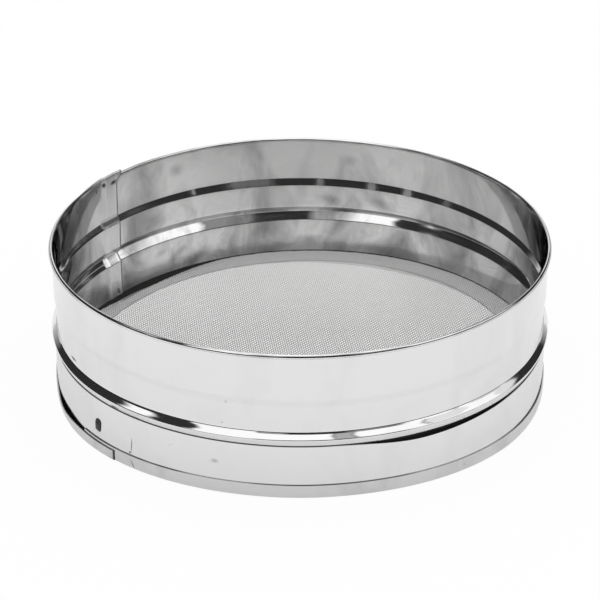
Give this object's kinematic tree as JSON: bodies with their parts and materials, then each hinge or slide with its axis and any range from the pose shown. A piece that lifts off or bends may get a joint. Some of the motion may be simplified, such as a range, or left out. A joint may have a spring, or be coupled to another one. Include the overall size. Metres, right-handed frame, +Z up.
{
  "type": "sieve",
  "caption": "Round drum sieve: a beaded stainless hoop with a rolled rim over a lower hoop that clamps a disc of woven wire cloth, bound along the bottom edge by a folded channel.",
  "frame": {"origin": "centre of the round face that the sieve stands on", "axes": "+Z up through the open rim; -Y is the side that faces the viewer in the picture, +X to its right"},
  "size_m": [0.304, 0.304, 0.0917],
  "materials": {
    "polished_sheet": "bright polished stainless sheet",
    "satin_sheet": "solder-tinned stainless sheet",
    "cloth_wire": "drawn stainless wire, plain weave"
  },
  "bodies": {
    "root": {"upper_hoop": "polished_sheet", "lower_hoop": "polished_sheet", "edge_channel": "polished_sheet", "support_ring": "satin_sheet", "wire_cloth": "cloth_wire"}
  },
  "joints": []
}
